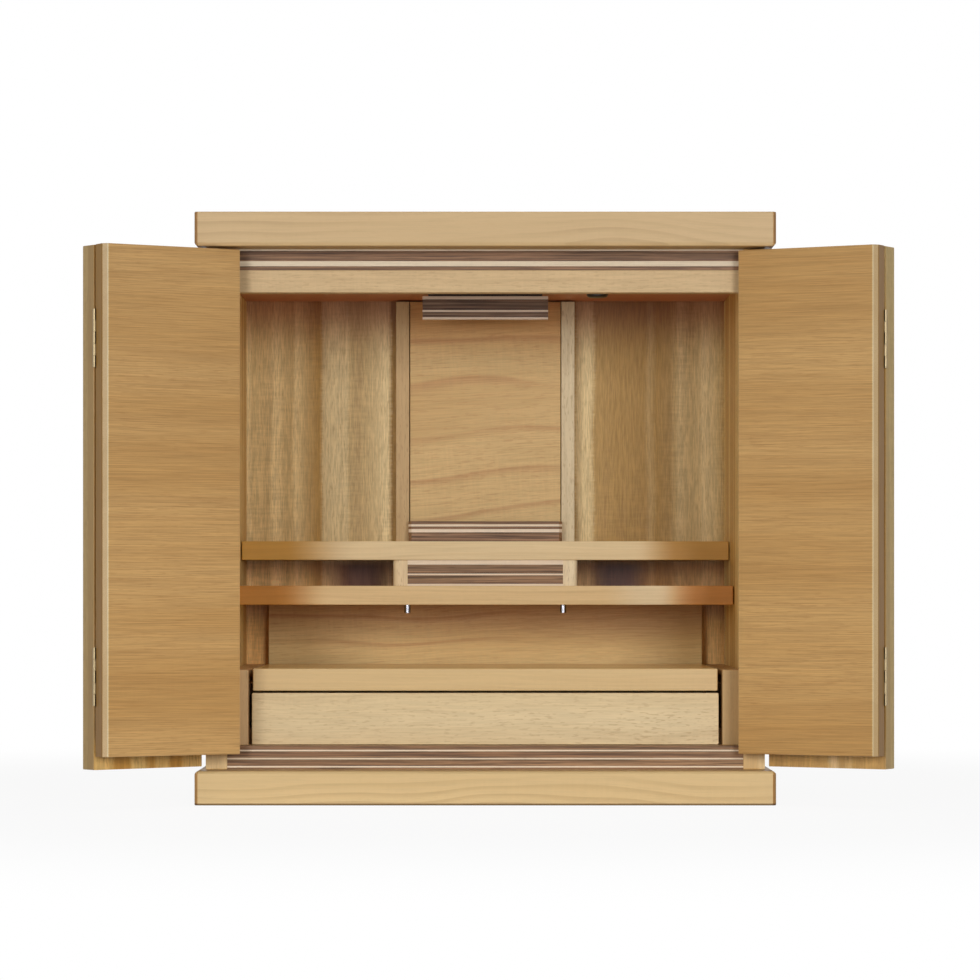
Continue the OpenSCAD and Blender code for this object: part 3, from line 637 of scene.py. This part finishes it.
# Which wood each node is made of, its grain axis, the axis of its caps, the grain axis of the caps,
# a shift of the figure and a tint
dressing = {
    "top_board": ("boardCherry", "x", "x", "y", (0.31, 0.04, 0.013), (1.022, 1.024, 0.989)),
    "base_board": ("boardCherry", "x", "x", "y", (1.87, 0.02, 0.33), (1.274, 1.322, 1.228)),
    "left_side_panel": ("ribbonVeneer", "z", "y", "z", (0.11, 0.50, 0.2), (1.25, 1.36, 1.22)),
    "right_side_panel": ("ribbonVeneer", "z", "y", "z", (0.77, 0.31, 0.4), (1.25, 1.36, 1.22)),
    "back_board": ("backVeneer", "z", "x", "z", (0.236, 0.0, 0.0), (1.037, 1.153, 1.041)),
    "floor_board": ("shelfWood", "x", "x", "y", (0.5, 0.2, 0.1), (1.0, 1.0, 1.0)),
    # The ceiling board's tint, darker and redder than the centre panel's of the same veneer, is painted
    # shade.
    "ceiling_board": ("panelVeneer", "x", "x", "y", (0.9, 0.6, 0.1), (0.95, 0.62, 0.58)),
    "lintel_rail": ("railWood", "x", "x", "y", (0.4, 0.3, 0.5), (1.004, 1.025, 0.999)),
    "centre_panel": ("panelVeneer", "x", "x", "z", (0.15, 0.7, 0.03), (1.027, 1.144, 1.047)),
    "left_pilaster": ("railWood", "z", "x", "z", (0.2, 0.9, 0.4), (0.874, 0.851, 0.737)),
    "right_pilaster": ("railWood", "z", "x", "z", (0.6, 0.1, 0.8), (1.116, 1.314, 1.527)),
    "upper_shelf": ("shelfWood", "x", "x", "y", (0.8, 0.4, 0.3), (1.222, 1.411, 1.674)),
    "lower_shelf": ("shelfWood", "x", "x", "y", (0.1, 0.8, 0.6), (1.088, 1.121, 1.128)),
    "left_riser_post": ("railWood", "z", "x", "z", (0.3, 0.1, 0.9), (1.293, 1.421, 1.549)),
    "right_riser_post": ("railWood", "z", "x", "z", (0.9, 0.5, 0.2), (1.335, 1.569, 1.868)),
    "lower_back_panel": ("panelVeneer", "x", "x", "z", (0.6, 0.2, 0.9), (1.148, 1.335, 1.249)),
    # The left cheek's tint, paler than the right cheek's, is painted light that makes up for the left door's
    # shadow.
    "left_cheek": ("railWood", "z", "y", "z", (0.5, 0.7, 0.4), (1.30, 1.23, 1.12)),
    "right_cheek": ("railWood", "z", "y", "z", (0.1, 0.3, 0.8), (0.94, 0.86, 0.67)),
    "drawer_guides": ("boxWood", "y", "y", "z", (0.2, 0.6, 0.7), (1.0, 1.0, 1.0)),
    "pull_out_tray": ("trayWood", "x", "x", "y", (0.7, 0.5, 0.1), (1.123, 1.142, 1.139)),
    "tray_tongues": ("boxWood", "y", "y", "z", (0.4, 0.8, 0.3), (1.0, 1.0, 1.0)),
    "drawer_front": ("drawerWood", "x", "x", "y", (0.3, 0.9, 0.6), (1.158, 1.215, 1.271)),
    "left_drawer_side": ("boxWood", "y", "y", "z", (0.6, 0.3, 0.2), (1.0, 1.0, 1.0)),
    "right_drawer_side": ("boxWood", "y", "y", "z", (0.8, 0.1, 0.5), (1.0, 1.0, 1.0)),
    "drawer_back": ("boxWood", "x", "x", "z", (0.2, 0.5, 0.8), (1.0, 1.0, 1.0)),
    "drawer_bottom": ("boxWood", "x", "x", "y", (0.9, 0.2, 0.1), (1.0, 1.0, 1.0)),
    "left_front_leaf": ("doorCherry", "x", "x", "z", (0.1, 0.2, 0.3), (0.970, 0.980, 0.890)),
    "right_front_leaf": ("doorCherry", "x", "x", "z", (0.6, 0.4, 0.9), (0.965, 0.970, 0.850)),
    "left_rear_leaf": ("leafVeneer", "z", "x", "z", (0.3, 0.8, 0.2), (1.032, 1.026, 0.948)),
    "right_rear_leaf": ("leafVeneer", "z", "x", "z", (0.8, 0.5, 0.6), (1.288, 1.331, 1.130)),
}
stripNodes = {
    "walnutStrip": {
        "lintel_walnut_strips": (0.80, 0.72, 0.62),
        "bottom_rail_walnut_strips": (1.18, 1.14, 0.98),
        "plinth_walnut_strips": (1.06, 1.04, 0.94),
        "lamp_cover_walnut_strips": (0.74, 0.80, 0.88),
        "riser_walnut_strips": (1.02, 0.99, 0.85),
    },
    "mapleStrip": {
        "lintel_maple_strips": (0.88, 0.90, 0.88),
        "bottom_rail_maple_strips": (1.16, 1.20, 1.24),
        "plinth_maple_strips": (1.1, 1.15, 1.2),
        "lamp_cover_maple_strips": (1.0, 1.04, 1.12),
        "riser_maple_strips": (1.08, 1.10, 1.12),
    },
}
stripShift = (0.37, 0.11, 0.23)  # how far the figure moves from one strip node to the next
fittingNodes = {
    "left_door_hinges": "paleBrass",
    "right_door_hinges": "paleBrass",
    "shelf_pegs": "pegChrome",
    "lamp_housing": "lampPlastic",
    "cord_grommet": "grommetPlastic",
}


# Four numbers for a tone that is open to one side: its outer two lie beyond any place or slant.
def upTo(full, gone):
    return (-3.0, -2.0, full, gone)


def fromOn(gone, full):
    return (gone, full, 2.0, 3.0)


# Parts of a node that are toned by a factor: what is measured, its axis, whether its size counts,
# the four numbers between which the tone comes and goes, the factors, and what else limits it, the
# side that toned faces look to as a sign or four numbers for the place along another axis. Most tones
# are painted shade, painted light or a painted highlight, as said beside each.
toFront = ("y", -1.0)
# Heights of the slot between the shelves, and the painted shade of its darkest parts, behind the riser posts.
slotHeight = ("z", (0.158, 0.168, 0.182, 0.190))
slotCoreShade = (0.24, 0.125, 0.085)
cornerTone = ("place", "x", True, (0.2176, 0.2182, 0.2186, 0.2187), (0.72, 0.56, 0.36))
shades = {
    "top_board": [
        # Painted shade: the top board's underside darker.
        ("look", "z", False, upTo(-0.92, -0.86), (0.84, 0.76, 0.56)),
        ("look", "z", True, (0.4, 0.5, 0.80, 0.86), (1.16, 1.18, 1.2)),
        cornerTone,
    ],
    "base_board": [
        # Painted shade: the base board's top face darker.
        ("look", "z", False, fromOn(0.86, 0.92), (0.74, 0.66, 0.54)),
        ("look", "z", True, (0.4, 0.5, 0.80, 0.86), (0.94, 0.94, 0.92)),
        # Painted shade: a dark line along the foot of the base board, where it meets the floor.
        ("place", "z", False, upTo(0.0012, 0.0018), (0.30, 0.25, 0.18)),
        cornerTone,
    ],
    "left_side_panel": [("look", "x", False, upTo(-0.6, -0.5), (1.25, 1.12, 1.04))],
    "right_side_panel": [("look", "x", False, fromOn(0.5, 0.6), (1.25, 1.12, 1.04))],
    # Painted light: the front leaves' front faces lighter towards the bottom.
    "left_front_leaf": [("place", "z", False, upTo(0.05, 0.41), (1.14, 1.14, 1.12), toFront)],
    "right_front_leaf": [("place", "z", False, upTo(0.05, 0.41), (1.06, 1.05, 1.01), toFront)],
    # Painted light: the rear leaves' front faces lighter at the foot, where the front leaves shade them.
    "left_rear_leaf": [("place", "z", False, upTo(0.042, 0.055), (1.50, 1.50, 1.18), toFront)],
    "right_rear_leaf": [("place", "z", False, upTo(0.042, 0.055), (1.32, 1.48, 2.05), toFront)],
    # Painted shade: the shelves' front edges darken to orange-brown towards both ends, where the doors shade
    # them.
    "upper_shelf": [
        ("place", "x", False, upTo(-0.163, -0.108), (0.86, 0.60, 0.19), toFront),
        ("place", "x", False, fromOn(0.119, 0.156), (0.70, 0.48, 0.175), toFront),
    ],
    "lower_shelf": [
        ("place", "x", False, upTo(-0.162, -0.122), (0.79, 0.48, 0.15), toFront),
        ("place", "x", False, fromOn(0.134, 0.169), (0.73, 0.43, 0.165), toFront),
        # Painted highlight: a pale, glossy band on the lower shelf's front edge towards its right end.
        ("place", "x", False, (0.090, 0.128, 0.140, 0.158), (1.05, 1.18, 1.46), toFront),
    ],
    "back_board": [
        # Painted shade: the back board in the slot between the shelves darker and redder, most under the
        # upper shelf and behind the riser posts; the slot's left end is lighter again, which is painted
        # light.
        ("place", "z", False, slotHeight[1], (0.98, 0.74, 0.62), toFront),
        ("place", "z", False, (0.170, 0.186, 0.190, 0.196), (0.76, 0.72, 0.80), toFront),
        ("place", "x", False, upTo(-0.146, -0.132), (1.18, 1.30, 1.36), slotHeight, toFront),
        ("place", "x", False, (-0.138, -0.112, -0.094, -0.070), slotCoreShade, slotHeight, toFront),
        ("place", "x", False, (0.080, 0.103, 0.118, 0.140), slotCoreShade, slotHeight, toFront),
        # Painted shade: the back board darker and redder towards its top, under the lintel.
        ("place", "z", False, fromOn(0.355, 0.402), (0.60, 0.40, 0.36), toFront),
        ("place", "z", False, upTo(0.150, 0.156), (1.06, 0.84, 0.62), toFront),
        # Painted shade: the back board darker just under the lower shelf.
        ("place", "z", False, (0.132, 0.150, 0.158, 0.160), (0.78, 0.74, 1.0), toFront),
        ("place", "x", False, upTo(-0.1355, -0.1345), (1.14, 1.11, 1.04), toFront),
        ("look", "y", False, fromOn(0.5, 0.6), (1.30, 1.10, 1.06)),
    ],
    # Painted shade: the centre panel darker and redder towards its top, under the lamp cover.
    "centre_panel": [("place", "z", False, fromOn(0.345, 0.388), (0.96, 0.76, 0.60))],
    # Painted shade: the lower back panel darker and redder towards its top, under the lower shelf.
    "lower_back_panel": [("place", "z", False, fromOn(0.112, 0.150), (0.72, 0.57, 0.54))],
    # Painted light: the tray's top face lighter.
    "pull_out_tray": [("look", "z", False, fromOn(0.86, 0.92), (1.51, 1.62, 1.48))],
}
# Painted highlight: a thin pale line down each front leaf's outer arris, where its front face meets the
# bevel.
arrisHighlight = {
    "nodes": ("left_front_leaf", "right_front_leaf"),
    "skin": 0.0005,            # how far behind the foremost point a point still counts as the front face
    "half": 0.0002,
    "soft": 0.0006,
    "factors": (1.22, 1.45, 1.72),
}


def dress(node, material):
    slots = nodes[node].data.materials
    slots.clear()
    slots.append(material)


for node, (wood, grain, cap, edge, shift, tint) in dressing.items():
    angle = leafAngle(node) if node.endswith("_leaf") else 0.0
    paintedArrisLine = []
    # The front leaves get the painted highlight along their outer arris.
    if node in arrisHighlight["nodes"]:
        spot = leafArris(node, angle) + shift[0]
        half, soft = arrisHighlight["half"], arrisHighlight["soft"]
        span = (spot - half - soft, spot - half, spot + half, spot + half + soft)
        paintedArrisLine = [("turned", "x", False, span, arrisHighlight["factors"])]
    ownRibbons = ribbons if node == "back_board" else None
    dress(node, woodMaterial(node + "Wood", wood, grain, cap, edge, angle, shift, tint,
                             shades.get(node, []) + paintedArrisLine, ownRibbons))
for wood, members in stripNodes.items():
    for i, (node, tint) in enumerate(members.items()):
        shift = tuple(step * i for step in stripShift)
        dress(node, woodMaterial(node + "Wood", wood, "x", "x", "y", 0.0, shift, tint))
fittingMaterials = {name: fittingMaterial(name) for name in fittings}
for node, name in fittingNodes.items():
    dress(node, fittingMaterials[name])
print("woods and fittings done")


# Screws that hold the hinge plates: low domes with a sunk cross, two on each plate

hingeScrews = {
    "headRadius": 0.0016,
    "headHeight": 0.0004,
    "crossWidth": 0.0003,
    "crossDepth": 0.00025,
    "crossReach": 0.7,             # as a share of the head's radius
    "rings": 12,
    "sides": 40,
    "pin": (0.2155, -0.1125),      # axis between the side panel and the rear leaf, in plan
    "leafPin": (0.1005, 0.00133),  # axis between the leaves, seen from the first one along the rear leaf
    "plateReach": 0.0078,          # distance of the screws from their hinge's axis
    "heights": (0.0863, 0.1103, 0.340, 0.364),
}


# Points over a disc, each as high as the cosine of its radius, lowered where the cross runs.
def screwHead(s):
    turns = np.linspace(0, 2 * np.pi, s["sides"], endpoint=False)
    r, a = np.meshgrid(np.linspace(0, 1, s["rings"])[1:], turns, indexing="ij")
    x, y = r * np.cos(a) * s["headRadius"], r * np.sin(a) * s["headRadius"]
    small, large = np.minimum(abs(x), abs(y)), np.maximum(abs(x), abs(y))
    sunk = (small < s["crossWidth"]) & (large < s["crossReach"] * s["headRadius"])
    z = s["headHeight"] * np.cos(r * np.pi / 2) - sunk * s["crossDepth"]
    top = [[0, 0, s["headHeight"] - s["crossDepth"]]]
    points = np.concatenate([top, np.stack([x, y, z], -1).reshape(-1, 3)])
    n = s["sides"]
    fan = [(0, 1 + i, 1 + (i + 1) % n) for i in range(n)]
    quads = []
    for j in range(s["rings"] - 2):
        inner, outer = 1 + j * n, 1 + (j + 1) * n
        quads += [(inner + i, outer + i, outer + (i + 1) % n, inner + (i + 1) % n) for i in range(n)]
    return points, fan + quads


# Plan place and outward direction of the screws on the four plates of a left door's hinges.
def screwPlaces(s, rearAngle, frontAngle):
    def turned(angle, v):
        c, d = math.cos(angle), math.sin(angle)
        return np.array([c * v[0] - d * v[1], d * v[0] + c * v[1]])

    pin = np.array([-s["pin"][0], s["pin"][1]])
    reach, offset = s["plateReach"], s["leafPin"][1]
    rear = rearAngle - math.pi
    leafPin = pin + turned(rear, s["leafPin"])
    return [
        (pin + np.array([reach, 0.0]), np.array([0.0, -1.0])),
        (pin + turned(rear, (reach, 0.0)), turned(rear, (0.0, 1.0))),
        (pin + turned(rear, (s["leafPin"][0] - reach, 0.0)), turned(rear, (0.0, 1.0))),
        (leafPin + turned(frontAngle, (reach, -offset)), turned(frontAngle, (0.0, 1.0))),
    ]


def makeScrews(s):
    head, faces = screwHead(s)
    for side, sign in (("left", 1), ("right", -1)):
        rearAngle = math.radians(abs(leafAngle(side + "_rear_leaf")))
        frontAngle = math.radians(abs(leafAngle(side + "_front_leaf")))
        points, allFaces = [], []
        for place, out in screwPlaces(s, rearAngle, frontAngle):
            across = np.array([-out[1], out[0], 0.0])
            basis = np.stack([across, [0.0, 0.0, 1.0], [out[0], out[1], 0.0]])
            for z in s["heights"]:
                start = sum(len(p) for p in points)
                points.append(head @ basis + [place[0], place[1], z])
                allFaces += [tuple(start + i for i in face) for face in faces]
        points = np.concatenate(points) * (sign, 1, 1)
        if sign < 0:
            allFaces = [face[::-1] for face in allFaces]
        mesh = bpy.data.meshes.new(side + "HingeScrews")
        mesh.from_pydata(points.tolist(), [], allFaces)
        mesh.polygons.foreach_set("use_smooth", [True] * len(mesh.polygons))
        piece = bpy.data.objects.new(side + "HingeScrews", mesh)
        bpy.context.scene.collection.objects.link(piece)
        mesh.materials.append(fittingMaterials["screwSteel"])
        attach(piece, "cabinet")


makeScrews(hingeScrews)
print("hinge screws made")


# Softened edges: the triangles of each node are welded and its sharp edges get a small round

edgeRound = {
    "boards": 0.0008, "leaves": 0.0006, "shelves": 0.0008, "strips": 0.00015, "small": 0.0003, "tray": 0.001,
}
softening = {
    "weld": 0.00001,
    "segments": 3,
    "sharpFrom": 30,           # degrees
}
roundOf = {
    "top_board": "boards", "base_board": "boards", "upper_shelf": "shelves", "lower_shelf": "shelves",
    "pull_out_tray": "tray", "drawer_front": "shelves",
    "left_front_leaf": "leaves", "right_front_leaf": "leaves",
    "left_rear_leaf": "leaves", "right_rear_leaf": "leaves", "left_side_panel": "leaves",
    "right_side_panel": "leaves", "left_cheek": "leaves", "right_cheek": "leaves", "lintel_rail": "small",
    "centre_panel": "small", "left_pilaster": "small", "right_pilaster": "small", "lower_back_panel": "small",
    "left_riser_post": "small", "right_riser_post": "small", "lamp_housing": "small",
    "left_drawer_side": "small", "right_drawer_side": "small", "drawer_back": "small",
}
for members in stripNodes.values():
    for node in members:
        roundOf[node] = "strips"


def softenEdges(piece, radius, s):
    weld = piece.modifiers.new("weld", "WELD")
    weld.merge_threshold = s["weld"]
    bevel = piece.modifiers.new("edgeRound", "BEVEL")
    bevel.width = radius
    bevel.segments = s["segments"]
    bevel.limit_method = "ANGLE"
    bevel.angle_limit = math.radians(s["sharpFrom"])
    bevel.harden_normals = False


for node, kind in roundOf.items():
    softenEdges(nodes[node], edgeRound[kind], softening)
print("edges softened")


# Studio: pale floor, white surround and three soft lamps, in front to the left and right, and above

studio = {
    "floorColor": (240, 240, 240),
    "floorSize": 12.0,
    "floorDrop": 0.0002,       # how far the floor lies below the base board
    "floorRough": 0.9,
    "floorShow": 0.92,         # how white the floor is to the camera near the cabinet
    "floorFade": (0.45, 1.1),  # metres from the cabinet over which the floor turns wholly white
    "worldColor": (255, 255, 255),
    "worldStrength": 0.08,
    "lampAim": (0.0, -0.1, 0.22),
    "lamps": {
        "leftLamp": {"angle": -20, "elevation": 7.5, "distance": 3.0, "size": (0.78, 0.95), "power": 29},
        "rightLamp": {"angle": 17, "elevation": 7.5, "distance": 3.0, "size": (0.7, 0.95), "power": 29},
        "topLamp": {"angle": 0, "elevation": 88, "distance": 2.5, "size": (1.6, 1.6), "power": 14},
    },
}


# A square whose four corners lie half its size from the middle, a hair below the base board. It takes
# shadows, and a share of white glow that grows with distance is mixed in for the camera.
def makeFloor(s):
    half = s["floorSize"] / 2
    corners = [(x * half, y * half, -s["floorDrop"]) for x, y in ((-1, -1), (1, -1), (1, 1), (-1, 1))]
    mesh = bpy.data.meshes.new("studioFloor")
    mesh.from_pydata(corners, [], [(0, 1, 2, 3)])
    floor = bpy.data.objects.new("studioFloor", mesh)
    bpy.context.scene.collection.objects.link(floor)
    material = bpy.data.materials.new("floorWhite")
    material.use_nodes = True
    t = Tree(material.node_tree)
    shader = material.node_tree.nodes["Principled BSDF"]
    t.feed(shader.inputs["Base Color"], linear(s["floorColor"]))
    t.feed(shader.inputs["Roughness"], s["floorRough"])
    t.feed(shader.inputs["Specular IOR Level"], 0.0)
    glow = t.node("ShaderNodeEmission")
    t.feed(glow.inputs["Strength"], 1.0)
    paths = t.node("ShaderNodeLightPath")
    seen = t.math("MAXIMUM", paths.outputs["Is Camera Ray"], paths.outputs["Is Glossy Ray"])
    seen = t.math("MAXIMUM", seen, paths.outputs["Is Transmission Ray"])
    away = t.node("ShaderNodeVectorMath", operation="LENGTH")
    t.feed(away.inputs[0], t.node("ShaderNodeTexCoord").outputs["Object"])
    near, far = s["floorFade"]
    show = t.ramp(away.outputs["Value"], near, far, s["floorShow"], 1.0)
    mix = t.node("ShaderNodeMixShader")
    t.feed(mix.inputs[0], t.math("MULTIPLY", seen, show))
    t.feed(mix.inputs[1], shader.outputs[0])
    t.feed(mix.inputs[2], glow.outputs[0])
    t.feed(material.node_tree.nodes["Material Output"].inputs["Surface"], mix.outputs[0])
    mesh.materials.append(material)


# White to the camera, and a weak light on everything else.
def makeWorld(s):
    world = bpy.data.worlds.new("studioWorld")
    world.use_nodes = True
    bpy.context.scene.world = world
    t = Tree(world.node_tree)
    background = world.node_tree.nodes["Background"]
    t.feed(background.inputs["Color"], linear(s["worldColor"]))
    paths = t.node("ShaderNodeLightPath")
    seen = t.math("MAXIMUM", paths.outputs["Is Camera Ray"], paths.outputs["Is Glossy Ray"])
    seen = t.math("MAXIMUM", seen, paths.outputs["Is Transmission Ray"])
    t.feed(background.inputs["Strength"], t.ramp(seen, 0.0, 1.0, s["worldStrength"], 1.0))


# Area lamps on a sphere round the cabinet's middle, each turned towards it.
def makeLamps(s):
    middle = np.array(s["lampAim"])
    for name, lamp in s["lamps"].items():
        a, e = math.radians(lamp["angle"]), math.radians(lamp["elevation"])
        away = np.array([math.sin(a) * math.cos(e), -math.cos(a) * math.cos(e), math.sin(e)])
        data = bpy.data.lights.new(name, "AREA")
        data.shape = "RECTANGLE"
        data.size, data.size_y = lamp["size"]
        data.energy = lamp["power"]
        light = bpy.data.objects.new(name, data)
        light.location = (middle + away * lamp["distance"]).tolist()
        light.rotation_euler = (math.pi / 2 - e, 0.0, a)
        bpy.context.scene.collection.objects.link(light)


makeFloor(studio)
makeWorld(studio)
makeLamps(studio)
bpy.context.scene.view_settings.view_transform = "Standard"
print("studio done")
